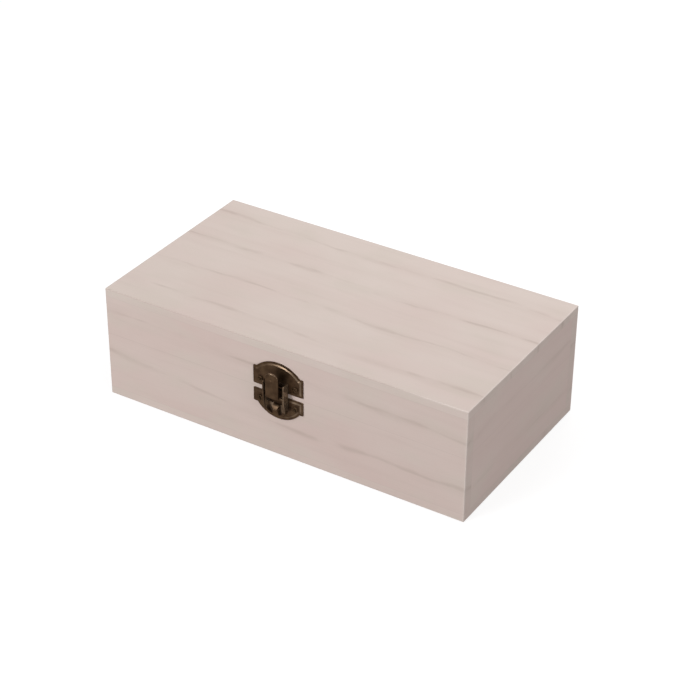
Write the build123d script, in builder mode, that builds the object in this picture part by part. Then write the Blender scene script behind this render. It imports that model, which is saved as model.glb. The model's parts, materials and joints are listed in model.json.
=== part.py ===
"""Hinged wooden storage box, closed by a bronze toggle latch.

Millimetres, +Z up. The origin is the centre of the underside, X runs along the
box and -Y faces the front, where the latch is. The lid is drawn closed.
"""

import os
from math import atan2, degrees

from build123d import *

# Box, over the bare wood
box_length = 240.0
box_depth = 130.0
box_height = 72.0
base_height = 42.0
wall_thickness = 7.0
top_thickness = 5.0
bottom_thickness = 5.0
edge_radius = 0.4

# Latch plates, each with a flat border round a raised field with a sloping edge
plate_width = 33.2
plate_thickness = 0.5
plate_border = 1.2
plate_corner_radius = 0.6
field_rise = 0.35
field_bevel = 0.9
upper_plate_gap = 1.9
upper_ear_height = 11.8
upper_ear_step = 2.1
upper_arch_rise = 6.2
lower_plate_gap = 1.1
lower_ear_height = 8.8
lower_ear_step = 2.5
lower_arch_drop = 7.1

# Hook on the upper plate: a block whose lip stands in front of the loop's bar
hook_width = 8.6
hook_seam_gap = 0.2
hook_seat_height = 6.2
hook_height = 16.2
hook_lip_gap = 5.65
hook_lip_thickness = 0.6
hook_crown = 0.6
hook_corner_radius = 3.9
hook_edge_radius = 0.45
hook_foot_radius = 0.5
dimple_radius = 1.4
dimple_depth = 0.35
dimple_below_tip = 3.6

# Lever: a shallow dish with a thumb ridge, pivoted between two lugs of the lower plate
sheet_thickness = 0.7
side_clearance = 0.25
plate_clearance = 0.3
lever_pivot_height = 3.0
lever_shoulder_margin = 0.1
lever_bow = 3.8
lever_rim_drop = 1.9
lever_floor_clearance = 1.9
lever_pin_radius = 0.6
lug_spacing = 8.9
lug_wall = 0.7
lug_foot_height = 3.2
ridge_width = 3.8
ridge_height = 2.9
ridge_run_out = 4.0

# Loop: two arms riveted to the lever, joined by the bar behind the hook's lip
loop_pivot_below = 7.7
loop_pivot_height = 3.4
loop_foot_radius = 1.35
loop_arm_thickness = 0.8
loop_arm_depth = 4.75
loop_arm_length = 11.0
loop_bar_thickness = 0.8
loop_bar_width = 1.6
loop_bar_clearance = 0.3
loop_top_margin = 0.8
loop_corner_radius = 0.7
rivet_radius = 0.6
rivet_head_lip = 0.4
rivet_head_height = 0.35
rivet_end_play = 0.05

# Screws, with pan heads and a cross recess
latch_screw_head_radius = 1.8
latch_screw_head_height = 0.8
latch_screw_shank_radius = 0.85
latch_screw_inset = 4.9
upper_screw_inset = 4.5
lower_screw_inset = 5.4
hinge_screw_head_radius = 1.5
hinge_screw_head_height = 0.6
hinge_screw_shank_radius = 0.75
hinge_screw_inset = 4.5
recess_width = 0.5
recess_length = 2.2
recess_depth = 0.35
screw_tip_chamfer = 0.4
screw_head_round = 0.4

# Hinges, on the outside of the back
hinge_inset = 45.0
hinge_width = 20.0
leaf_height = 12.0
leaf_thickness = 0.8
leaf_corner_radius = 2.0
knuckle_wall = 0.87
knuckle_count = 3
knuckle_gap = 0.2
knuckle_wall_gap = 0.15
hinge_pin_radius = 0.7

# Fits
pin_clearance = 0.03
screw_clearance = 0.02
screw_hole_clearance = 0.1
hole_end_clearance = 0.3
wood_behind_screw = 1.2

# Planes: on the front and back ones the second coordinate is Z, on the side plane
# the first is the height above the front face and the second is Z
front_plane = Plane.XZ.offset(box_depth / 2)
back_plane = Plane(origin=(0, box_depth / 2, 0), x_dir=(-1, 0, 0), z_dir=(0, 1, 0))
side_plane = Plane(origin=(0, -box_depth / 2, 0), x_dir=(0, -1, 0), z_dir=(-1, 0, 0))

# Places that follow from the sizes
seam = base_height
lid_low_face = box_height - top_thickness
front_y = -box_depth / 2
sides = (-1, 1)
field_height = plate_thickness + field_rise
screw_depth = wall_thickness - wood_behind_screw - hole_end_clearance

upper_plate_edge = seam + upper_plate_gap
upper_ear_top = upper_plate_edge + upper_ear_height
upper_arch = (plate_width - 2 * upper_ear_step, upper_ear_top + upper_arch_rise)
lower_plate_edge = seam - lower_plate_gap
lower_ear_bottom = lower_plate_edge - lower_ear_height
lower_arch = (plate_width - 2 * lower_ear_step, lower_ear_bottom - lower_arch_drop)
latch_columns = [x * (plate_width / 2 - latch_screw_inset) for x in sides]
upper_screws = [(x, upper_plate_edge + upper_screw_inset) for x in latch_columns]
lower_screws = [(x, lower_plate_edge - lower_screw_inset) for x in latch_columns]

hook_bottom = seam + hook_seam_gap
hook_seat = hook_bottom + hook_seat_height
hook_tip = hook_bottom + hook_height
lip_inner = field_height + hook_lip_gap
lip_side = lip_inner + hook_lip_thickness
lip_front = lip_side + hook_crown

lever_pivot_z = lower_plate_edge
lever_pivot = (lever_pivot_height, lever_pivot_z)
lug_radius = lever_pin_radius + pin_clearance + lug_wall
lug_inner = lug_spacing / 2
rivet_head_radius = rivet_radius + rivet_head_lip
loop_pivot_z = lever_pivot_z - loop_pivot_below
loop_pivot = (loop_pivot_height, loop_pivot_z)
lever_back = field_height + plate_clearance
lever_floor = lever_back + sheet_thickness
cheek_radius = lever_pivot_height - lever_back
lever_rim = lever_pivot_height + cheek_radius
lever_top = lever_pivot_z + cheek_radius
lever_shoulder = loop_pivot_z - rivet_head_radius - lever_shoulder_margin
lever_bottom = lever_shoulder - lever_bow
ridge_front = lever_floor + ridge_height
floor_end = lower_plate_edge - lug_foot_height - lever_floor_clearance
cheek_inner = lug_inner + sheet_thickness + side_clearance
cheek_outer = cheek_inner + sheet_thickness
arm_inner = cheek_outer + side_clearance
arm_outer = arm_inner + loop_arm_thickness
loop_inner_edge = field_height + plate_clearance
loop_outer_edge = loop_inner_edge + loop_arm_depth
bar_bottom = hook_seat + loop_bar_clearance
bar_top = bar_bottom + loop_bar_width
loop_top = bar_top + loop_top_margin

knuckle_radius = hinge_pin_radius + pin_clearance + knuckle_wall
hinge_axis_y = box_depth / 2 + knuckle_radius + knuckle_wall_gap
knuckle_length = (hinge_width - (knuckle_count - 1) * knuckle_gap) / knuckle_count
knuckle_pitch = knuckle_length + knuckle_gap
leaf_start = knuckle_radius + knuckle_gap
hinge_offset = box_length / 2 - hinge_inset
hinge_columns = [
    a * hinge_offset + b * (hinge_width / 2 - hinge_screw_inset) for a in sides for b in sides
]
base_hinge_screws = [(x, seam - leaf_height + hinge_screw_inset) for x in hinge_columns]
lid_hinge_screws = [(x, seam + leaf_height - hinge_screw_inset) for x in hinge_columns]


def long_board(side, low, high, screws, shank_radius):
    """Front (side -1) or back (side 1) board, which covers the short boards' ends."""
    with BuildPart() as board:
        with BuildSketch(Plane.XY.offset(low)):
            with Locations((0, side * (box_depth - wall_thickness) / 2)):
                Rectangle(box_length, wall_thickness)
        extrude(amount=high - low)
        corners = board.edges().filter_by(Axis.Z).group_by(Axis.Y)
        fillet(corners[0] if side < 0 else corners[-1], edge_radius)
        with BuildSketch(front_plane if side < 0 else back_plane):
            with Locations(*screws):
                Circle(shank_radius + screw_clearance)
        extrude(amount=-screw_depth - hole_end_clearance, mode=Mode.SUBTRACT)
    return board


def short_board(side, low, high):
    """Left (side -1) or right (side 1) board, between the long boards."""
    with BuildPart() as board:
        with BuildSketch(Plane.XY.offset(low)):
            with Locations((side * (box_length - wall_thickness) / 2, 0)):
                Rectangle(wall_thickness, box_depth - 2 * wall_thickness)
        extrude(amount=high - low)
    return board


def flat_panel(low, high, outer_face):
    """Top or bottom panel, glued over the edges of the four boards."""
    with BuildPart() as panel:
        with BuildSketch(Plane.XY.offset(low)):
            RectangleRounded(box_length, box_depth, edge_radius)
        extrude(amount=high - low)
        fillet(panel.faces().sort_by(Axis.Z)[outer_face].edges(), edge_radius - screw_clearance)
    return panel


def plate_outline(inset, seam_edge, ear_edge, arch):
    """Front view of a latch plate: two square ears and an arch, drawn inset from its edge."""
    half = plate_width / 2
    arch_span, arch_tip = arch
    with BuildSketch() as outline:
        with BuildLine():
            Polyline(
                (-arch_span / 2, ear_edge),
                (-half, ear_edge),
                (-half, seam_edge),
                (half, seam_edge),
                (half, ear_edge),
                (arch_span / 2, ear_edge),
            )
            ThreePointArc((arch_span / 2, ear_edge), (0, arch_tip), (-arch_span / 2, ear_edge))
        make_face()
        if inset:
            offset(amount=-inset, kind=Kind.INTERSECTION)
        else:
            columns = outline.vertices().group_by(Axis.X)
            fillet(columns[0] + columns[-1], plate_corner_radius)
    return outline.sketch


def latch_plate(screws, *shape):
    """A bare latch plate: flat border, field with a sloping edge, and screw holes."""
    with BuildPart() as plate:
        with BuildSketch(front_plane):
            add(plate_outline(0, *shape))
        extrude(amount=plate_thickness)
        with BuildSketch(front_plane.offset(plate_thickness)):
            add(plate_outline(plate_border, *shape))
        extrude(amount=field_rise, taper=degrees(atan2(field_bevel, field_rise)))
        with BuildSketch(front_plane):
            with Locations(*screws):
                Circle(latch_screw_shank_radius + screw_hole_clearance)
        extrude(amount=field_height, mode=Mode.SUBTRACT)
    return plate.part


def pan_head_screws(seat, points, head_radius, head_height, shank_radius, shank_length):
    """A set of equal screws whose heads rest on the seat plane and point outwards."""
    outward = Axis(seat.origin, seat.z_dir)
    with BuildPart() as screws:
        with BuildSketch(seat):
            with Locations(*points):
                Circle(shank_radius)
        extrude(amount=-shank_length)
        tips = screws.faces().group_by(outward)[0]
        chamfer(tips.edges(), screw_tip_chamfer)
        with BuildSketch(seat):
            with Locations(*points):
                Circle(head_radius)
        extrude(amount=head_height)
        crowns = screws.faces().group_by(outward)[-1]
        fillet(crowns.edges(), screw_head_round)
        with BuildSketch(seat.offset(head_height)):
            with Locations(*points):
                Rectangle(recess_length, recess_width)
                Rectangle(recess_width, recess_length)
        extrude(amount=-recess_depth, mode=Mode.SUBTRACT)
    return screws


def hinge_leaf(centre, side, knuckles, screws):
    """Base leaf (side -1) or lid leaf (side 1) with the knuckles whose numbers are given."""
    with BuildPart() as leaf:
        with BuildSketch(back_plane):
            with Locations((-centre, seam + side * (leaf_start + leaf_height) / 2)):
                Rectangle(hinge_width, leaf_height - leaf_start)
        extrude(amount=leaf_thickness)
        rows = leaf.edges().filter_by(Axis.Y).group_by(Axis.Z)
        fillet(rows[0] if side < 0 else rows[-1], leaf_corner_radius)
        for number in knuckles:
            start = centre - hinge_width / 2 + number * knuckle_pitch
            with BuildSketch(Plane.YZ.offset(start)):
                with Locations((hinge_axis_y, seam)):
                    Circle(knuckle_radius)
                with Locations(((box_depth + leaf_thickness) / 2, seam + side * leaf_start / 2)):
                    Rectangle(leaf_thickness, leaf_start)
            extrude(amount=knuckle_length)
        with BuildSketch(Plane.YZ.offset(centre)):
            with Locations((hinge_axis_y, seam)):
                Circle(hinge_pin_radius + pin_clearance)
        extrude(amount=hinge_width, both=True, mode=Mode.SUBTRACT)
        with BuildSketch(back_plane):
            with Locations(*screws):
                Circle(hinge_screw_shank_radius + screw_hole_clearance)
        extrude(amount=leaf_thickness, mode=Mode.SUBTRACT)
    return leaf


def hinge_pin(centre):
    """Pin through all the knuckles of one hinge."""
    with BuildPart() as pin:
        with BuildSketch(Plane.YZ.offset(centre)):
            with Locations((hinge_axis_y, seam)):
                Circle(hinge_pin_radius)
        extrude(amount=hinge_width / 2, both=True)
    return pin


# Base: four boards and the bottom panel
base_front_board = long_board(
    -1, bottom_thickness, seam, lower_screws, latch_screw_shank_radius
)
base_back_board = long_board(
    1, bottom_thickness, seam, base_hinge_screws, hinge_screw_shank_radius
)
base_left_board = short_board(-1, bottom_thickness, seam)
base_right_board = short_board(1, bottom_thickness, seam)
base_bottom_panel = flat_panel(0, bottom_thickness, 0)

# Lid: four boards and the top panel
lid_front_board = long_board(-1, seam, lid_low_face, upper_screws, latch_screw_shank_radius)
lid_back_board = long_board(1, seam, lid_low_face, lid_hinge_screws, hinge_screw_shank_radius)
lid_left_board = short_board(-1, seam, lid_low_face)
lid_right_board = short_board(1, seam, lid_low_face)
lid_top_panel = flat_panel(lid_low_face, box_height, -1)

# Upper latch plate, with its hook
with BuildPart() as latch_upper_plate:
    add(latch_plate(upper_screws, upper_plate_edge, upper_ear_top, upper_arch))
    with BuildSketch(Plane.XY.offset(hook_bottom)):
        with BuildLine():
            Polyline(
                (-hook_width / 2, front_y - lip_side),
                (-hook_width / 2, front_y - plate_thickness),
                (hook_width / 2, front_y - plate_thickness),
                (hook_width / 2, front_y - lip_side),
            )
            ThreePointArc(
                (hook_width / 2, front_y - lip_side),
                (0, front_y - lip_front),
                (-hook_width / 2, front_y - lip_side),
            )
        make_face()
    extrude(amount=hook_height)
    with BuildSketch(side_plane):
        with Locations(((field_height + lip_inner) / 2, (hook_seat + hook_tip) / 2)):
            Rectangle(lip_inner - field_height, hook_tip - hook_seat)
    extrude(amount=hook_width / 2, both=True, mode=Mode.SUBTRACT)
    lip_corners = latch_upper_plate.edges().filter_by(Axis.Y).group_by(Axis.Z)[-1]
    fillet(lip_corners, hook_corner_radius)
    foot = latch_upper_plate.edges().group_by(Axis.Z)[0].sort_by(Axis.Y)[0]
    fillet(foot, hook_foot_radius)
    crown = latch_upper_plate.faces().sort_by(Axis.Y)[0]
    fillet(crown.edges().sort_by(Axis.Z)[1:], hook_edge_radius)
    sink = Plane.XZ.offset(box_depth / 2 + lip_front + dimple_radius - dimple_depth)
    with Locations(sink.location * Location((0, hook_tip - dimple_below_tip, 0))):
        Sphere(dimple_radius, mode=Mode.SUBTRACT)

# Lower latch plate, with the lugs that carry the lever
with BuildPart() as latch_lower_plate:
    add(latch_plate(lower_screws, lower_plate_edge, lower_ear_bottom, lower_arch))
    with BuildSketch(side_plane.offset(lug_inner)) as lug:
        with BuildLine():
            Line(
                (plate_thickness, lower_plate_edge),
                (plate_thickness, lower_plate_edge - lug_foot_height),
            )
            CenterArc(lever_pivot, lug_radius, 0, 360)
        make_hull()
        with Locations(lever_pivot):
            Circle(lever_pin_radius + pin_clearance, mode=Mode.SUBTRACT)
    extrude(amount=sheet_thickness)
    extrude(lug.sketch.mirror(Plane.YZ), amount=sheet_thickness, dir=(1, 0, 0))

# Lever: dish, open slot for the lugs, rounded cheeks and thumb ridge
with BuildPart() as latch_lever:
    with BuildSketch(front_plane.offset(lever_back)) as dish:
        with BuildLine():
            Polyline(
                (-cheek_outer, lever_shoulder),
                (-cheek_outer, lever_top),
                (cheek_outer, lever_top),
                (cheek_outer, lever_shoulder),
            )
            ThreePointArc(
                (cheek_outer, lever_shoulder), (0, lever_bottom), (-cheek_outer, lever_shoulder)
            )
        make_face()
    extrude(amount=lever_rim - lever_back)
    with BuildSketch(front_plane.offset(lever_floor)):
        offset(dish.sketch_local, amount=-sheet_thickness, kind=Kind.INTERSECTION)
        with Locations((0, lever_top - sheet_thickness)):
            Rectangle(2 * cheek_inner, 2 * sheet_thickness)
    extrude(amount=lever_rim, mode=Mode.SUBTRACT)
    with BuildSketch(front_plane.offset(lever_back)):
        with Locations((0, (floor_end + lever_top) / 2)):
            Rectangle(2 * cheek_inner, lever_top - floor_end)
    extrude(amount=sheet_thickness, mode=Mode.SUBTRACT)
    with BuildSketch(Plane.XY.offset(lever_bottom + sheet_thickness)):
        floor_y = front_y - lever_floor
        with BuildLine():
            Line((-ridge_width / 2, floor_y), (ridge_width / 2, floor_y))
            ThreePointArc(
                (ridge_width / 2, floor_y), (0, floor_y - ridge_height), (-ridge_width / 2, floor_y)
            )
        make_face()
    extrude(amount=floor_end - lever_bottom - sheet_thickness)
    with BuildSketch(side_plane):
        with BuildLine():
            Line((lever_back, lever_bottom), (lever_rim - lever_rim_drop, lever_bottom))
            CenterArc(lever_pivot, cheek_radius, 0, 360)
            CenterArc(loop_pivot, rivet_head_radius, 0, 360)
        make_hull()
    extrude(amount=cheek_outer, both=True, mode=Mode.INTERSECT)
    with BuildSketch(side_plane):
        with BuildLine():
            ridge_start = (ridge_front, floor_end - ridge_run_out)
            Polyline((lever_floor, floor_end), (ridge_front, floor_end), ridge_start)
            TangentArc(ridge_start, (lever_floor, floor_end), tangent=(0, 1))
        make_face()
    extrude(amount=cheek_inner, both=True, mode=Mode.SUBTRACT)
    with BuildSketch(side_plane):
        with Locations(lever_pivot):
            Circle(lever_pin_radius + pin_clearance)
        with Locations(loop_pivot):
            Circle(rivet_radius + pin_clearance)
    extrude(amount=cheek_outer, both=True, mode=Mode.SUBTRACT)

# Pin through the lugs and the lever's cheeks
with BuildPart() as latch_lever_pin:
    with BuildSketch(side_plane):
        with Locations(lever_pivot):
            Circle(lever_pin_radius)
    extrude(amount=cheek_outer, both=True)

# Loop: one arm outside each cheek, and the bar
with BuildPart() as latch_loop:
    arm_shoulder = loop_top - loop_arm_length
    with BuildSketch(side_plane.offset(arm_inner)) as arm:
        with BuildLine():
            Polyline(
                (loop_inner_edge, arm_shoulder),
                (loop_inner_edge, loop_top),
                (loop_outer_edge, loop_top),
                (loop_outer_edge, arm_shoulder),
            )
            CenterArc(loop_pivot, loop_foot_radius, 0, 360)
        make_hull()
        fillet(arm.vertices().group_by(Axis.Y)[-1], loop_corner_radius)
    extrude(amount=loop_arm_thickness)
    mirror(about=Plane.YZ)
    with BuildSketch(side_plane):
        with Locations((loop_inner_edge + loop_bar_thickness / 2, (bar_bottom + bar_top) / 2)):
            Rectangle(loop_bar_thickness, loop_bar_width)
    extrude(amount=arm_inner, both=True)
    with BuildSketch(side_plane):
        with Locations(loop_pivot):
            Circle(rivet_radius + pin_clearance)
    extrude(amount=arm_outer, both=True, mode=Mode.SUBTRACT)

# Rivets that carry the loop, one through each cheek and arm
with BuildPart() as latch_loop_rivets:
    for start, length, radius in (
        (cheek_inner - rivet_head_height, rivet_head_height, rivet_head_radius),
        (cheek_inner, arm_outer + rivet_end_play - cheek_inner, rivet_radius),
        (arm_outer + rivet_end_play, rivet_head_height, rivet_head_radius),
    ):
        with BuildSketch(side_plane.offset(start)):
            with Locations(loop_pivot):
                Circle(radius)
        extrude(amount=length)
    mirror(about=Plane.YZ)

# Screws of the latch plates and of the hinges
latch_seat = front_plane.offset(field_height)
latch_screw = (
    latch_screw_head_radius,
    latch_screw_head_height,
    latch_screw_shank_radius,
    screw_depth + field_height,
)
latch_upper_screws = pan_head_screws(latch_seat, upper_screws, *latch_screw)
latch_lower_screws = pan_head_screws(latch_seat, lower_screws, *latch_screw)
hinge_seat = back_plane.offset(leaf_thickness)
hinge_screw = (
    hinge_screw_head_radius,
    hinge_screw_head_height,
    hinge_screw_shank_radius,
    screw_depth + leaf_thickness,
)
hinge_base_screws = pan_head_screws(hinge_seat, base_hinge_screws, *hinge_screw)
hinge_lid_screws = pan_head_screws(hinge_seat, lid_hinge_screws, *hinge_screw)

pieces = {
    "base_front_board": base_front_board,
    "base_back_board": base_back_board,
    "base_left_board": base_left_board,
    "base_right_board": base_right_board,
    "base_bottom_panel": base_bottom_panel,
    "lid_front_board": lid_front_board,
    "lid_back_board": lid_back_board,
    "lid_left_board": lid_left_board,
    "lid_right_board": lid_right_board,
    "lid_top_panel": lid_top_panel,
    "latch_upper_plate": latch_upper_plate,
    "latch_lower_plate": latch_lower_plate,
    "latch_lever": latch_lever,
    "latch_lever_pin": latch_lever_pin,
    "latch_loop": latch_loop,
    "latch_loop_rivets": latch_loop_rivets,
    "latch_upper_screws": latch_upper_screws,
    "latch_lower_screws": latch_lower_screws,
    "hinge_base_screws": hinge_base_screws,
    "hinge_lid_screws": hinge_lid_screws,
}

# Two hinges: the base leaf carries the outer knuckles, the lid leaf those between
for word, side in (("left", -1), ("right", 1)):
    centre = side * hinge_offset
    pieces[f"hinge_{word}_base_leaf"] = hinge_leaf(
        centre, -1, range(0, knuckle_count, 2), base_hinge_screws
    )
    pieces[f"hinge_{word}_lid_leaf"] = hinge_leaf(
        centre, 1, range(1, knuckle_count, 2), lid_hinge_screws
    )
    pieces[f"hinge_{word}_pin"] = hinge_pin(centre)

os.makedirs("parts", exist_ok=True)
for label, piece in pieces.items():
    piece.part.label = label
    export_step(piece.part, f"parts/{label}.step")
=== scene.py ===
"""Looks of the hinged storage box: bare pale wood and antique bronze fittings.

Metres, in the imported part's frame: X along the box, -Y the front, +Z up.
"""

import json
import math

import bmesh
import bpy
from mathutils import Matrix, Vector

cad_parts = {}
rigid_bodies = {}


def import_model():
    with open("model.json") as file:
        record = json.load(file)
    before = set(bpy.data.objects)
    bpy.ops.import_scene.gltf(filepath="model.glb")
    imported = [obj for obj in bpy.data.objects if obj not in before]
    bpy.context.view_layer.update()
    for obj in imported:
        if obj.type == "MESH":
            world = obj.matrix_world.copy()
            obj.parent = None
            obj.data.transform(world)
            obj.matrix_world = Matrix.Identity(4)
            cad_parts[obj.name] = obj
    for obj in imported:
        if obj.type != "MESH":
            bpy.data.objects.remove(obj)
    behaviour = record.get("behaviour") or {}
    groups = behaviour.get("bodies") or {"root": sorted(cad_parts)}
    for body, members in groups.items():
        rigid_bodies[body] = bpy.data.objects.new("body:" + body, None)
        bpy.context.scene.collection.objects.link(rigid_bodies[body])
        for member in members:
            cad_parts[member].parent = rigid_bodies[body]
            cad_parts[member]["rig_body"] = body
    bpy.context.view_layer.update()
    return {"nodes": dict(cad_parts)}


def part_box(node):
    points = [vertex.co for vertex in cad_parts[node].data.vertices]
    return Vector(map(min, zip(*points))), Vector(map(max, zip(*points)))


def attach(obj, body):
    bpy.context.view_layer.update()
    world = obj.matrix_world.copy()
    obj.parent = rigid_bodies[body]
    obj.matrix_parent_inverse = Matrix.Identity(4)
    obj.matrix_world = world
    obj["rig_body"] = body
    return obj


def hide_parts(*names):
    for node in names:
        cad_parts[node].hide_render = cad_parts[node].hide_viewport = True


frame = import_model()

MM = 0.001

# Places that the frame gives
base_low, base_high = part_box("base_front_board")
top_low, top_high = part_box("lid_top_panel")
seam = base_high.z
half_length = top_high.x
half_depth = top_high.y
box_height = top_high.z
wall_thickness = base_high.y - base_low.y
panel_thickness = top_high.z - top_low.z
rivet_low, rivet_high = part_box("latch_loop_rivets")
rivet_middle = (rivet_low + rivet_high) / 2


# Node trees

class Term:
    """A socket of a node tree, so that its maths is written with Python's operators."""

    def __init__(self, tree, socket):
        self.tree = tree
        self.socket = socket

    def maths(self, operation, *others):
        return self.tree.maths(operation, self, *others)

    def __add__(self, other):
        return self.maths("ADD", other)

    __radd__ = __add__

    def __sub__(self, other):
        return self.maths("SUBTRACT", other)

    def __rsub__(self, other):
        return self.tree.maths("SUBTRACT", other, self)

    def __mul__(self, other):
        return self.maths("MULTIPLY", other)

    __rmul__ = __mul__

    def __truediv__(self, other):
        return self.maths("DIVIDE", other)

    def __rtruediv__(self, other):
        return self.tree.maths("DIVIDE", other, self)

    def __abs__(self):
        return self.maths("ABSOLUTE")

    def fraction(self):
        return self.maths("FRACT")

    def root(self):
        return self.maths("SQRT")

    def least(self, other):
        return self.maths("MINIMUM", other)

    def most(self, other):
        return self.maths("MAXIMUM", other)

    def rise(self, start, end):
        """0 below start, 1 above end and a smooth step between them; falls where start > end."""
        return self.tree.add(
            "ShaderNodeMapRange",
            {"interpolation_type": "SMOOTHSTEP", "clamp": True},
            {"Value": self, "From Min": start, "From Max": end},
        )


class Tree:
    """A node tree that is built one call at a time."""

    def __init__(self, tree):
        self.tree = tree

    def add(self, kind, settings=(), values=(), out=0):
        """A new node: its settings first, then the values or links of its sockets."""
        node = self.tree.nodes.new(kind)
        for name, value in dict(settings).items():
            setattr(node, name, value)
        for key, value in dict(values).items():
            socket = node.inputs[key]
            for one in value if isinstance(value, list) else [value]:
                if isinstance(one, Term):
                    self.tree.links.new(one.socket, socket)
                else:
                    socket.default_value = one
        return Term(self, node.outputs[out]) if node.outputs else node

    def maths(self, operation, *terms):
        return self.add("ShaderNodeMath", {"operation": operation}, dict(enumerate(terms)))

    def vector(self, x, y, z):
        return self.add("ShaderNodeCombineXYZ", (), {"X": x, "Y": y, "Z": z})

    def parts(self, vector):
        """The X, Y and Z of a vector."""
        return [self.add("ShaderNodeSeparateXYZ", (), {0: vector}, axis) for axis in "XYZ"]


WHITE = (1.0, 1.0, 1.0)


class Finish(Tree):
    """The node tree of one material, on the piece's own coordinates in millimetres."""

    def __init__(self, name):
        self.material = bpy.data.materials.new(name)
        self.material.use_nodes = True
        super().__init__(self.material.node_tree)
        self.tree.nodes.clear()
        place = self.add("ShaderNodeTexCoord", (), (), "Object")
        self.x, self.y, self.z = [term / MM for term in self.parts(place)]

    def mix(self, share, first, second):
        """Colour between first and second."""
        return self.add(
            "ShaderNodeMix",
            {"data_type": "RGBA", "clamp_factor": True},
            {"Factor": share, 6: colour(first), 7: colour(second)},
            2,
        )

    def noise(self, place, detail=2.0, roughness=0.5):
        """Noise about 0, mostly within a quarter either way."""
        return self.add(
            "ShaderNodeTexNoise",
            {"noise_dimensions": "3D"},
            {"Vector": place, "Scale": 1.0, "Detail": detail, "Roughness": roughness},
        ) - 0.5

    def surface(self, base, roughness, metallic, height, relief, specular, rim=WHITE):
        """The shader and output; height (0 to 1) is scaled to relief, rim tints glancing light."""
        normal = self.add(
            "ShaderNodeBump", (), {"Strength": 1.0, "Distance": relief, "Height": height}
        )
        shader = self.add(
            "ShaderNodeBsdfPrincipled",
            (),
            {
                "Base Color": base,
                "Roughness": roughness,
                "Metallic": metallic,
                "Specular IOR Level": specular,
                "Specular Tint": (*rim, 1.0),
                "Normal": normal,
            },
        )
        self.add("ShaderNodeOutputMaterial", (), {"Surface": shader})
        return self.material


def colour(value):
    """A colour for a socket: a term as it is, or three linear numbers with alpha 1."""
    return value if isinstance(value, Term) else (*value, 1.0)


# Wood

RING_WIDTH = 31.0
PALE_WOOD = (0.690, 0.590, 0.538)
PINK_WOOD = (0.660, 0.528, 0.485)
GREY_WOOD = (0.640, 0.560, 0.495)
LATE_WOOD = (0.430, 0.335, 0.285)
END_WOOD = (0.520, 0.420, 0.380)
# Painted highlight and painted shade for the outer edges of the box.
PAINTED_EDGE_HIGHLIGHT = (0.800, 0.720, 0.670)
PAINTED_EDGE_SHADE = (0.480, 0.385, 0.345)
SEAM_SHADE = (0.200, 0.140, 0.110)
HAIRLINE = (0.14, 0.05)
EDGE_HIGHLIGHT_SPAN = (60.0, 112.0)
WOOD_RELIEF = 0.05 * MM
WOOD_SHEEN = 0.28


def bare_wood(name, axes, ring_start, ring_slope, pink_and_shade_tint, figure=1.0):
    """Sanded softwood with wide growth rings; axes are the grain, across it and into the board."""
    wood = Finish(name)
    named = {"x": wood.x, "y": wood.y, "z": wood.z}
    along, across, into = [named[axis] for axis in axes]

    def fibres(length, width, offset, detail=2.0):
        """Noise drawn out along the grain, in millimetres."""
        place = wood.vector(along / length + offset, across / width, into / width)
        return wood.noise(place, detail)

    bend = fibres(110.0, 40.0, 3.1, 1.0) * 14.0 + fibres(26.0, 14.0, 6.4, 1.0) * 3.0
    ring = (across + along * ring_slope + bend - ring_start) / RING_WIDTH
    from_line = abs((ring + 0.5).fraction() - 0.5) * RING_WIDTH
    spread = (fibres(32.0, 12.0, 7.7) * 8.0 + 2.0).most(0.6)
    broken = fibres(30.0, 9.0, 11.3, 3.0).rise(-0.12, 0.16)
    line = (from_line / spread).rise(1.0, 0.0) * broken
    halo = from_line.rise(6.5, 0.0) * fibres(60.0, 12.0, 4.3).rise(-0.15, 0.20)
    dashes = fibres(17.0, 2.0, 8.8, 2.0).rise(0.15, 0.36) * fibres(80.0, 24.0, 0.7).rise(-0.1, 0.2)
    streaks = fibres(90.0, 5.0, 5.2, 3.0)
    threads = fibres(16.0, 0.6, 1.9, 2.0)
    pores = fibres(2.6, 0.30, 9.4, 1.0).rise(0.16, 0.32)
    clouds = fibres(70.0, 38.0, 2.6, 2.0)
    patches = fibres(34.0, 16.0, 14.9, 1.0)

    normal = wood.add("ShaderNodeTexCoord", (), (), "Normal")
    cut = dict(zip("xyz", wood.parts(normal)))[axes[0]]
    end = abs(cut).rise(0.55, 0.85)

    # Pink tint: partly the board's own colour, partly painted shade on faces that lie in shade.
    tone = wood.mix(clouds * 1.8 + pink_and_shade_tint, PALE_WOOD, PINK_WOOD)
    tone = wood.mix(patches.rise(-0.05, 0.25) * 0.45, tone, GREY_WOOD)
    tone = wood.mix(streaks.rise(-0.02, 0.25) * 0.07, tone, LATE_WOOD)
    tone = wood.mix(threads.rise(0.0, 0.25) * 0.05, tone, LATE_WOOD)
    tone = wood.mix((halo * 0.12 + line * 0.36 + dashes * 0.10) * figure, tone, LATE_WOOD)
    tone = wood.mix(pores * (1.0 - end) * 0.14, tone, LATE_WOOD)
    tone = wood.mix(end * 0.12, tone, END_WOOD)
    edges = painted_edge_band(wood)
    highlighted_end = wood.x.rise(*EDGE_HIGHLIGHT_SPAN)
    # Painted highlight on the outer edges near the right end, painted shade on them elsewhere.
    tone = wood.mix(edges * highlighted_end * 0.40, tone, PAINTED_EDGE_HIGHLIGHT)
    tone = wood.mix(edges * (1.0 - highlighted_end) * 0.30, tone, PAINTED_EDGE_SHADE)
    gap = abs(wood.z - seam / MM).rise(*HAIRLINE) * (1.0 - end * 0.5)
    tone = wood.mix(gap * 0.16 + glue_lines(wood) * 0.12, tone, SEAM_SHADE)

    roughness = 0.68 + streaks * 0.10 + pores * 0.12 + end * 0.10
    height = 0.5 + threads * 0.55 + streaks * 0.30 - pores * 0.35 - line * 0.20
    return wood.surface(tone, roughness, 0.0, height, WOOD_RELIEF, WOOD_SHEEN)


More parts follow.
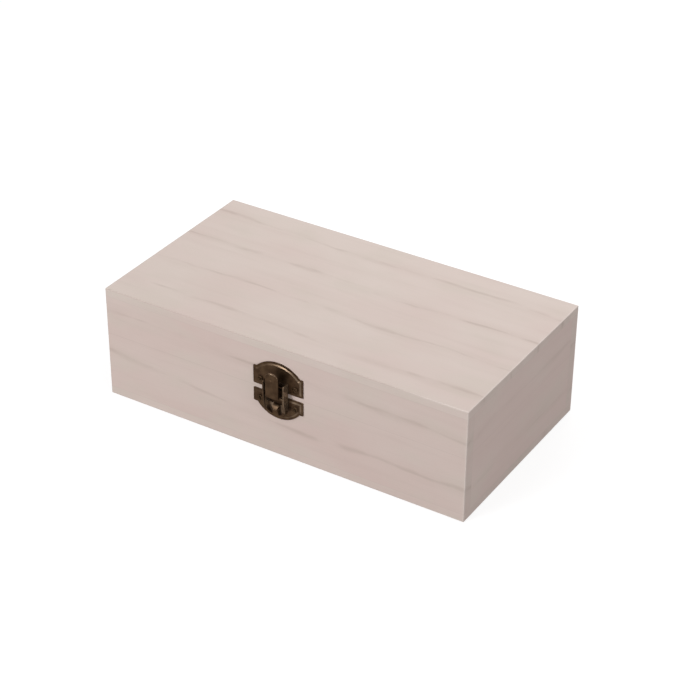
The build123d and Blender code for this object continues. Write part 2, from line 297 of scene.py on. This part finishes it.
def depths(wood):
    """How far a point lies in from the ends of the box, its sides, and its top or bottom."""
    from_end = half_length / MM - abs(wood.x)
    from_side = half_depth / MM - abs(wood.y)
    from_top = (box_height / MM - wood.z).least(wood.z)
    return from_end, from_side, from_top


def glue_lines(wood):
    """1 on the hairlines between boards and panels, on the outside and on the rims."""
    from_end, from_side, from_top = depths(wood)
    wall, panel = wall_thickness / MM, panel_thickness / MM
    outside = from_end.least(from_side).rise(0.3, 0.1)
    round_panel = abs(from_top - panel).rise(*HAIRLINE) * outside
    over_wall = from_end.rise(wall + 0.2, wall) * from_top.rise(panel - 0.1, panel)
    return round_panel.most(abs(from_side - wall).rise(*HAIRLINE) * over_wall)


def painted_edge_band(wood):
    """1 along the outer edges of the box, which get a painted highlight at the right end and
    painted shade elsewhere.
    """
    from_end, from_side, from_top = depths(wood)
    low = from_end.least(from_side)
    high = from_end.most(from_side)
    second = high.least(low.most(from_top))
    return second.rise(1.0, 0.3)


# Each face's pink tint is partly the board's own colour and partly painted shade: the right end,
# which lies in shade, is pinkest and darkest, and the lit top is palest.
WOODS = {
    "front": bare_wood("bare_wood_front", "xzy", 55.0, 0.030, 0.72),
    "back": bare_wood("bare_wood_back", "xzy", 46.0, -0.020, 0.55),
    "left": bare_wood("bare_wood_left", "yzx", 30.0, 0.015, 0.7, 0.6),
    "right": bare_wood("bare_wood_right", "yzx", 20.0, -0.015, 1.0, 0.4),
    "top": bare_wood("bare_wood_top", "xyz", 15.5, 0.004, 0.25),
    "bottom": bare_wood("bare_wood_bottom", "xyz", 2.0, 0.010, 0.45),
}

for word in ("front", "back", "left", "right"):
    for half in ("base", "lid"):
        frame["nodes"][f"{half}_{word}_board"].material_slots[0].material = WOODS[word]
frame["nodes"]["lid_top_panel"].material_slots[0].material = WOODS["top"]
frame["nodes"]["base_bottom_panel"].material_slots[0].material = WOODS["bottom"]


# Bronze

PATINA = (0.094, 0.056, 0.040)
GLANCING_BRONZE = (0.50, 0.43, 0.36)
RECESS_REACH = 2.5 * MM
BRONZE_RELIEF = 0.025 * MM
BRONZE_SHEEN = 0.25


def bronze(name, dark, mid, bright, gloss):
    """Bronze plate with a dark patina, brown in its hollows, rubbed bright where it is worn, and
    painted bright for highlights and light where the mesh marks it.
    """
    metal = Finish(name)
    place = metal.vector(metal.x, metal.y, metal.z)

    def mottle(size, offset, detail):
        moved = metal.add(
            "ShaderNodeVectorMath",
            {"operation": "MULTIPLY_ADD"},
            {0: place, 1: (1 / size,) * 3, 2: (offset,) * 3},
        )
        return metal.noise(moved, detail)

    clouds = mottle(4.0, 1.7, 3.0)
    grit = mottle(0.35, 5.1, 2.0)
    worn_and_lit = metal.add("ShaderNodeAttribute", {"attribute_name": "wear_and_highlight"}, (), "Fac")
    recess = metal.add(
        "ShaderNodeAmbientOcclusion", {"samples": 8}, {"Distance": RECESS_REACH}, "AO"
    ).rise(0.75, 0.30)
    shine = worn_and_lit * (clouds.rise(-0.25, 0.12) * 0.5 + 0.5) * (1.0 - recess * 0.6)
    recess = recess * (1.0 - worn_and_lit * 0.7)

    tone = metal.mix(clouds.rise(-0.2, 0.22), dark, mid)
    # The bright tone is partly wear and partly painted highlight and painted light, as the mesh's
    # marks say.
    tone = metal.mix(shine, tone, bright)
    tone = metal.mix(recess * 0.8, tone, PATINA)
    matt = (1.0 - worn_and_lit * 3.0).most(0.1)
    roughness = gloss + clouds * 0.20 + grit * matt * 0.2 - worn_and_lit * 0.24 + recess * 0.15
    metallic = 0.75 - recess * 0.45
    height = 0.5 + grit * matt * 0.6 + clouds * 0.5
    return metal.surface(
        tone, roughness, metallic, height, BRONZE_RELIEF, BRONZE_SHEEN, GLANCING_BRONZE
    )


ANTIQUE_BRONZE = bronze(
    "antique_bronze", (0.044, 0.024, 0.013), (0.080, 0.047, 0.026), (0.46, 0.35, 0.25), 0.36
)
SCREW_BRONZE = bronze(
    "screw_bronze", (0.035, 0.020, 0.010), (0.078, 0.047, 0.026), (0.39, 0.29, 0.20), 0.32
)

WELD_DISTANCE = 0.002 * MM
FLAT_ANGLE = math.radians(0.4)
SHARP_ANGLE = math.radians(28)


def add_piece(name, mesh, body, node):
    """A finished piece that rides on a body, in place of the plain piece of that node."""
    piece = bpy.data.objects.new(name, mesh)
    bpy.context.scene.collection.objects.link(piece)
    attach(piece, body)
    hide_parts(node)
    return piece


FACING = math.cos(math.radians(12))
STEEP = math.cos(math.radians(50))
SLOPE_REACH = 1.0 * MM
RIM_REACH = 2.3 * MM
HOLLOW_ANGLE = math.radians(-2)
THUMB_AND_LIGHT_REACH = 7.0 * MM
# Shares of the bright tone: the slope, edge, crown, rim and lifted shares are wear and painted
# highlight; the dish and cheek shares are painted light in shade; the side share is wear and
# painted light; the sheltered share dims the painted highlight on the crowns of the lever and loop.
SLOPE_WEAR_AND_HIGHLIGHT = 0.52
EDGE_WEAR_AND_HIGHLIGHT = 0.90
CROWN_WEAR_AND_HIGHLIGHT = 0.65
RIM_WEAR_AND_HIGHLIGHT = 0.10
LIFTED_WEAR_AND_HIGHLIGHT = 0.60
SIDE_WEAR_AND_LIGHT = 0.50
DISH_PAINTED_LIGHT = 0.30
CHEEK_PAINTED_LIGHT = 0.60
LEVER_CROWN_SHARE = 0.15


def proud(face):
    """How far a face of the latch stands out from the front of the box."""
    return -face.calc_center_median().y - half_depth


def is_slope(face):
    """Whether a face is part of the sloping edge of a plate's field."""
    return proud(face) < SLOPE_REACH and STEEP < -face.normal.y < FACING


def thumb_and_light_share(face):
    """How much a right thumb passes over a face, and how much painted highlight and painted light
    it gets: 0.2 on the left of the latch, 1 on its right, where the light falls.
    """
    side = max(-1.0, min(1.0, face.calc_center_median().x / THUMB_AND_LIGHT_REACH))
    return 0.6 + 0.4 * side


def rub_and_highlight(face):
    """How much an edge is rubbed and given a painted highlight: most where it looks up and to the
    right, towards the light.
    """
    return max(0.0, 0.35 + 0.4 * face.normal.x + 0.6 * face.normal.z) * thumb_and_light_share(face)


def is_hollow(face):
    """Whether a face lies in a dimple or a corner."""
    return any(
        len(edge.link_faces) == 2 and edge.calc_face_angle_signed() < HOLLOW_ANGLE
        for edge in face.edges
    )


def face_wear_and_light(face, rims_worn_and_lit):
    """Wear and painted highlight of a face that isn't a rounded edge, and painted light on shaded
    and side faces of the lever and loop.
    """
    if is_slope(face):
        return SLOPE_WEAR_AND_HIGHLIGHT * rub_and_highlight(face)
    faces_front = -face.normal.y > FACING
    if rims_worn_and_lit and faces_front and proud(face) < RIM_REACH:
        return DISH_PAINTED_LIGHT
    if rims_worn_and_lit and face.normal.x > FACING and is_hollow(face):
        return CHEEK_PAINTED_LIGHT
    if proud(face) < RIM_REACH or is_hollow(face) or face.normal.y > 0.5:
        return 0.0
    if rims_worn_and_lit and faces_front:
        lifted = face.calc_center_median().z < rivet_middle.z
        return (LIFTED_WEAR_AND_HIGHLIGHT if lifted else RIM_WEAR_AND_HIGHLIGHT) * thumb_and_light_share(face)
    if rims_worn_and_lit and abs(face.normal.x) > FACING:
        return SIDE_WEAR_AND_LIGHT * thumb_and_light_share(face)
    return CROWN_WEAR_AND_HIGHLIGHT * max(0.0, face.normal.z) * (LEVER_CROWN_SHARE if rims_worn_and_lit else 1.0)


def round_edges(node, name, radius, rims_worn_and_lit=False):
    """A fitting with its outer edges rounded; they, slopes, crowns and some rims are worn and carry
    painted highlights, and some shaded faces carry painted light.
    """
    source = frame["nodes"][node]
    work = bmesh.new()
    work.from_mesh(source.data)
    bmesh.ops.remove_doubles(work, verts=work.verts, dist=WELD_DISTANCE)
    bmesh.ops.dissolve_limit(
        work, angle_limit=FLAT_ANGLE, verts=work.verts, edges=work.edges
    )
    wear_and_highlight = work.faces.layers.float.new("wear_and_highlight")
    work.normal_update()
    shared = [edge for edge in work.edges if len(edge.link_faces) == 2]
    creased = [edge for edge in shared if edge.calc_face_angle() > SHARP_ANGLE]
    foot_lines = [edge for edge in shared if sum(map(is_slope, edge.link_faces)) == 1]
    for edge in creased + foot_lines:
        edge.smooth = False
    outer = [edge for edge in creased if edge.calc_face_angle_signed() > 0]
    made = bmesh.ops.bevel(
        work,
        geom=outer,
        offset=radius,
        offset_type="OFFSET",
        segments=3,
        profile=0.5,
        affect="EDGES",
        clamp_overlap=True,
    )
    work.normal_update()
    for face in work.faces:
        face[wear_and_highlight] = face_wear_and_light(face, rims_worn_and_lit)
        face.smooth = True
    # Rounded edges: wear and painted highlight, most where they look up and to the right.
    for face in made["faces"]:
        face[wear_and_highlight] = EDGE_WEAR_AND_HIGHLIGHT * rub_and_highlight(face)
        for edge in face.edges:
            edge.smooth = True
    mesh = bpy.data.meshes.new(name)
    work.to_mesh(mesh)
    work.free()
    mesh.materials.append(ANTIQUE_BRONZE)
    piece = add_piece(name, mesh, source["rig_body"], node)
    shading = piece.modifiers.new("flat faces", "WEIGHTED_NORMAL")
    shading.keep_sharp = True


PLATE_ROUND = 0.12 * MM
LEVER_ROUND = 0.14 * MM

round_edges("latch_upper_plate", "hook_plate", PLATE_ROUND)
round_edges("latch_lower_plate", "lever_plate", PLATE_ROUND)
round_edges("latch_lever", "lever", LEVER_ROUND, True)
round_edges("latch_loop", "loop", LEVER_ROUND, True)
for word in ("left", "right"):
    for half in ("base", "lid"):
        round_edges(f"hinge_{word}_{half}_leaf", f"{word}_hinge_{half}_leaf", PLATE_ROUND)
    frame["nodes"][f"hinge_{word}_pin"].material_slots[0].material = SCREW_BRONZE
frame["nodes"]["latch_lever_pin"].material_slots[0].material = SCREW_BRONZE


# Screws and rivets

HEAD_SIDES = 48
HEAD_RINGS = 14
ROD_SIDES = 32
ROD_RINGS = 12
TIP_SHARE = 0.3
RECESS_LENGTH_SHARE = 1.25
RECESS_WIDTH_SHARE = 0.28


class Maker(Tree):
    """A Geometry Nodes tree with named inputs."""

    def __init__(self, name, inputs):
        group = bpy.data.node_groups.new(name, "GeometryNodeTree")
        for word, kind in inputs.items():
            group.interface.new_socket(word, in_out="INPUT", socket_type=kind)
        group.interface.new_socket("Geometry", in_out="OUTPUT", socket_type="NodeSocketGeometry")
        super().__init__(group)
        node = group.nodes.new("NodeGroupInput")
        self.given = {word: Term(self, node.outputs[word]) for word in inputs}

    def shape(self, mesh, offset=None, position=None):
        """The mesh with its points moved."""
        values = {"Geometry": mesh}
        if offset is not None:
            values["Offset"] = offset
        if position is not None:
            values["Position"] = position
        return self.add("GeometryNodeSetPosition", (), values)

    def button(self, radius, height, edge, crown, base):
        """A disc that stands on base, with a rounded edge and a crowned top."""
        disc = self.add(
            "GeometryNodeMeshCylinder",
            {"fill_type": "TRIANGLE_FAN"},
            {
                "Vertices": HEAD_SIDES,
                "Side Segments": 1,
                "Fill Segments": HEAD_RINGS,
                "Radius": radius,
                "Depth": height,
            },
        )
        x, y, z = self.parts(self.add("GeometryNodeInputPosition"))
        reach = (x * x + y * y).root()
        outside = (reach - radius + edge).most(0.0)
        drop = edge - (edge * edge - outside * outside).most(0.0).root()
        sag = crown * (reach / radius) * (reach / radius)
        top = self.maths("GREATER_THAN", z, 0.0)
        lift = height / 2 + base - top * (drop + sag)
        return self.shape(disc, self.vector(0.0, 0.0, lift))

    def rod(self, radius, bottom, top, taper):
        """A round bar from bottom up to top, drawn in over the taper's length at its bottom."""
        bar = self.add(
            "GeometryNodeMeshCylinder",
            {"fill_type": "NGON"},
            {
                "Vertices": ROD_SIDES,
                "Side Segments": ROD_RINGS,
                "Radius": radius,
                "Depth": top - bottom,
            },
        )
        x, y, z = self.parts(self.add("GeometryNodeInputPosition"))
        above = z + (top - bottom) / 2
        narrow = (above / taper).least(1.0) * (1.0 - TIP_SHARE) + TIP_SHARE
        return self.shape(
            bar, position=self.vector(x * narrow, y * narrow, z + (top + bottom) / 2)
        )

    def fuse(self, *meshes):
        return self.add("GeometryNodeMeshBoolean", {"operation": "UNION"}, {1: list(meshes)})

    def finish(self, points, shape, facing, turn, material):
        """The shape on each point with its Z along facing, as one plain mesh."""
        rotation = self.add(
            "FunctionNodeAlignRotationToVector", {"axis": "Z"}, {"Vector": facing}
        )
        placed = self.add(
            "GeometryNodeInstanceOnPoints",
            (),
            {"Points": points, "Instance": shape, "Rotation": rotation},
        )
        turned = self.add(
            "GeometryNodeRotateInstances",
            (),
            {"Instances": placed, "Rotation": self.vector(0.0, 0.0, turn), "Local Space": True},
        )
        solid = self.add("GeometryNodeRealizeInstances", (), {"Geometry": turned})
        shaded = self.add("GeometryNodeSetShadeSmooth", (), {"Geometry": solid})
        dressed = self.add(
            "GeometryNodeSetMaterial", (), {"Geometry": shaded, "Material": material}
        )
        self.add("NodeGroupOutput", (), {"Geometry": dressed})
        return self.tree


LENGTH = "NodeSocketFloat"


def screw_tree():
    """Pan head screws with a cross recess, one on each point."""
    maker = Maker(
        "pan_head_screws",
        {
            "Geometry": "NodeSocketGeometry",
            "Head Radius": LENGTH,
            "Head Height": LENGTH,
            "Shank Radius": LENGTH,
            "Shank Length": LENGTH,
            "Recess Length": LENGTH,
            "Recess Width": LENGTH,
            "Recess Depth": LENGTH,
            "Facing": "NodeSocketVector",
            "Seed": "NodeSocketInt",
            "Material": "NodeSocketMaterial",
        },
    )
    given = maker.given
    height = given["Head Height"]
    head = maker.button(given["Head Radius"], height, height * 0.55, height * 0.12, 0.0)
    shank = maker.rod(
        given["Shank Radius"],
        given["Shank Length"] * -1.0,
        height * 0.3,
        given["Shank Radius"] * 1.6,
    )
    blank = maker.fuse(head, shank)
    floor = height - given["Recess Depth"]
    slots = []
    for length, width in (("Length", "Width"), ("Width", "Length")):
        block = maker.add("GeometryNodeMeshCube", (), {"Size": (1.0, 1.0, 1.0)})
        x, y, z = maker.parts(maker.add("GeometryNodeInputPosition"))
        flare = 0.85 + (z + 0.5) * 0.30
        slots.append(
            maker.shape(
                block,
                position=maker.vector(
                    x * flare * given[f"Recess {length}"],
                    y * flare * given[f"Recess {width}"],
                    floor + (z + 0.5) * height,
                ),
            )
        )
    screw = maker.add(
        "GeometryNodeMeshBoolean", {"operation": "DIFFERENCE"}, {0: blank, 1: slots}
    )
    turn = maker.add(
        "FunctionNodeRandomValue",
        {"data_type": "FLOAT"},
        {"Min": 0.0, "Max": math.pi / 2, "Seed": given["Seed"]},
        "Value",
    )
    return maker.finish(given["Geometry"], screw, given["Facing"], turn, given["Material"])


def rivet_tree():
    """Rivets with a domed head at each end, one on each point, which is the outer head's seat."""
    maker = Maker(
        "domed_rivets",
        {
            "Geometry": "NodeSocketGeometry",
            "Head Radius": LENGTH,
            "Head Height": LENGTH,
            "Shank Radius": LENGTH,
            "Grip": LENGTH,
            "Facing": "NodeSocketVector",
            "Material": "NodeSocketMaterial",
        },
    )
    given = maker.given
    radius, height = given["Head Radius"], given["Head Height"]
    outer = maker.button(radius, height, height * 0.8, height * 0.15, 0.0)
    inner = maker.button(radius, height, height * 0.5, 0.0, 0.0 - given["Grip"] - height)
    bar = maker.rod(
        given["Shank Radius"],
        given["Grip"] * -1.0 - height * 0.5,
        height * 0.5,
        height * 0.01,
    )
    rivet = maker.fuse(outer, bar, inner)
    return maker.finish(given["Geometry"], rivet, given["Facing"], 0.0, given["Material"])


def make_from(tree, points, values, name):
    """The plain mesh that a tree makes on the points."""
    seats = bpy.data.meshes.new(name + "_seats")
    seats.from_pydata(points, [], [])
    carrier = bpy.data.objects.new(name + "_carrier", seats)
    bpy.context.scene.collection.objects.link(carrier)
    modifier = carrier.modifiers.new("maker", "NODES")
    modifier.node_group = tree
    for item in tree.interface.items_tree:
        if item.in_out == "INPUT" and item.name in values:
            modifier[item.identifier] = values[item.name]
    ready = carrier.evaluated_get(bpy.context.evaluated_depsgraph_get())
    mesh = bpy.data.meshes.new_from_object(ready)
    mesh.name = name
    bpy.data.objects.remove(carrier)
    return mesh


screws = screw_tree()
rivets = rivet_tree()


def drive_screws(node, name, facing, head, seed, inner_xs=()):
    """Detailed screws in place of a node's plain ones; head is radius, height, shank, depth."""
    radius, height, shank, recess = head
    low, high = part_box(node)
    front = facing < 0
    tip_y = high.y if front else low.y
    seat_y = low.y + height if front else high.y - height
    middle = (low.z + high.z) / 2
    points = [(x, seat_y, middle) for x in (low.x + radius, *inner_xs, high.x - radius)]
    mesh = make_from(
        screws,
        points,
        {
            "Head Radius": radius,
            "Head Height": height,
            "Shank Radius": shank,
            "Shank Length": abs(tip_y - seat_y),
            "Recess Length": radius * RECESS_LENGTH_SHARE,
            "Recess Width": radius * RECESS_WIDTH_SHARE,
            "Recess Depth": recess,
            "Facing": (0.0, facing, 0.0),
            "Seed": seed,
            "Material": SCREW_BRONZE,
        },
        name,
    )
    add_piece(name, mesh, frame["nodes"][node]["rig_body"], node)


LATCH_SCREW = (1.8 * MM, 0.8 * MM, 0.85 * MM, 0.35 * MM)
HINGE_SCREW = (1.5 * MM, 0.6 * MM, 0.75 * MM, 0.30 * MM)
HINGE_SCREW_INSET = 4.5 * MM
hinge_inner_xs = (
    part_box("hinge_left_base_leaf")[1].x - HINGE_SCREW_INSET,
    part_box("hinge_right_base_leaf")[0].x + HINGE_SCREW_INSET,
)
drive_screws("latch_upper_screws", "hook_plate_screws", -1.0, LATCH_SCREW, 3)
drive_screws("latch_lower_screws", "lever_plate_screws", -1.0, LATCH_SCREW, 8)
drive_screws("hinge_base_screws", "base_hinge_screws", 1.0, HINGE_SCREW, 5, hinge_inner_xs)
drive_screws("hinge_lid_screws", "lid_hinge_screws", 1.0, HINGE_SCREW, 6, hinge_inner_xs)

RIVET_HEAD_RADIUS = 1.0 * MM
RIVET_HEAD_HEIGHT = 0.35 * MM
RIVET_RADIUS = 0.6 * MM
LEVER_SHEET = 0.7 * MM
rivet_seat = rivet_high.x - RIVET_HEAD_HEIGHT
lever_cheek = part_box("latch_lever")[1].x - LEVER_SHEET
rivet_mesh = bpy.data.meshes.new("loop_rivets")
joined = bmesh.new()
for side in (-1.0, 1.0):
    joined.from_mesh(
        make_from(
            rivets,
            [(side * rivet_seat, rivet_middle.y, rivet_middle.z)],
            {
                "Head Radius": RIVET_HEAD_RADIUS,
                "Head Height": RIVET_HEAD_HEIGHT,
                "Shank Radius": RIVET_RADIUS,
                "Grip": rivet_seat - lever_cheek,
                "Facing": (side, 0.0, 0.0),
                "Material": SCREW_BRONZE,
            },
            "rivet",
        )
    )
joined.to_mesh(rivet_mesh)
joined.free()
rivet_mesh.materials.append(SCREW_BRONZE)
add_piece("loop_rivets", rivet_mesh, "lever", "latch_loop_rivets")


# Camera, at the photograph's angle

VIEW_AZIMUTH = math.radians(31.608)
VIEW_ELEVATION = math.radians(32.145)
VIEW_ROLL = math.radians(0.473)
VIEW_DISTANCE = 1.1779
VIEW_CENTRE = Vector((-0.0037, 0.0168, 0.0257))
LENS = 101.92
SENSOR_WIDTH = 36.0

back = Vector(
    (
        math.sin(VIEW_AZIMUTH) * math.cos(VIEW_ELEVATION),
        -math.cos(VIEW_AZIMUTH) * math.cos(VIEW_ELEVATION),
        math.sin(VIEW_ELEVATION),
    )
)
level = Vector((0.0, 0.0, 1.0)).cross(back).normalized()
rise = back.cross(level)
right = level * math.cos(VIEW_ROLL) + rise * math.sin(VIEW_ROLL)
up = rise * math.cos(VIEW_ROLL) - level * math.sin(VIEW_ROLL)

camera_data = bpy.data.cameras.new("camera")
camera_data.sensor_width = SENSOR_WIDTH
camera_data.lens = LENS
camera = bpy.data.objects.new("camera", camera_data)
bpy.context.scene.collection.objects.link(camera)
camera.matrix_world = Matrix.Translation(VIEW_CENTRE + back * VIEW_DISTANCE) @ Matrix(
    (right, up, back)
).transposed().to_4x4()
bpy.context.scene.camera = camera


# Light and floor

def lamp(name, direction, distance, size, power):
    """A square soft light that faces the box from a direction."""
    data = bpy.data.lights.new(name, "AREA")
    data.size = size
    data.energy = power
    light = bpy.data.objects.new(name, data)
    bpy.context.scene.collection.objects.link(light)
    aim = Vector(direction).normalized()
    middle = Vector((0.0, 0.0, box_height / 2))
    facing = aim.to_track_quat("Z", "Y").to_matrix().to_4x4()
    light.matrix_world = Matrix.Translation(middle + aim * distance) @ facing


lamp("key_light", (-0.35, -0.69, 0.63), 2.6, 1.14, 23.8)
lamp("front_light", (-0.33, -0.94, 0.14), 1.0, 0.16, 1.8)
lamp("right_light", (0.85, -0.42, 0.45), 2.6, 0.98, 15.8)
lamp("back_light", (0.08, 0.80, 0.60), 0.75, 0.6, 2.4)


def light_path_share(tree):
    """1 for the rays that see the background: the camera's, and those through gloss and glass."""
    camera_ray = tree.add("ShaderNodeLightPath", (), (), "Is Camera Ray")
    glossy_ray = tree.add("ShaderNodeLightPath", (), (), "Is Glossy Ray")
    through_ray = tree.add("ShaderNodeLightPath", (), (), "Is Transmission Ray")
    return camera_ray.most(glossy_ray).most(through_ray)


AMBIENT = 0.42
world = bpy.data.worlds.new("studio")
world.use_nodes = True
bpy.context.scene.world = world
sky = Tree(world.node_tree)
world.node_tree.nodes.clear()
strength = light_path_share(sky) * (1.0 - AMBIENT) + AMBIENT
background = sky.add(
    "ShaderNodeBackground", (), {"Color": colour(WHITE), "Strength": strength}
)
sky.add("ShaderNodeOutputWorld", (), {"Surface": background})

FLOOR_HALF = 3.0
FLOOR_DROP = 0.05 * MM
FLOOR_GREY = (0.30, 0.30, 0.30)
FLOOR_GLOW = 0.78
floor_mesh = bpy.data.meshes.new("floor")
floor_corners = ((-1, -1), (1, -1), (1, 1), (-1, 1))
floor_mesh.from_pydata(
    [(x * FLOOR_HALF, y * FLOOR_HALF, -FLOOR_DROP) for x, y in floor_corners],
    [],
    [(0, 1, 2, 3)],
)
floor = bpy.data.objects.new("floor", floor_mesh)
bpy.context.scene.collection.objects.link(floor)
pale = Finish("pale_floor")
seen = light_path_share(pale)
matte = pale.add("ShaderNodeBsdfDiffuse", (), {"Color": colour(FLOOR_GREY)})
glow = pale.add(
    "ShaderNodeEmission", (), {"Color": colour(WHITE), "Strength": seen * FLOOR_GLOW}
)
both = pale.add("ShaderNodeAddShader", (), {0: matte, 1: glow})
pale.add("ShaderNodeOutputMaterial", (), {"Surface": both})
floor_mesh.materials.append(pale.material)

bpy.context.scene.view_settings.view_transform = "Standard"
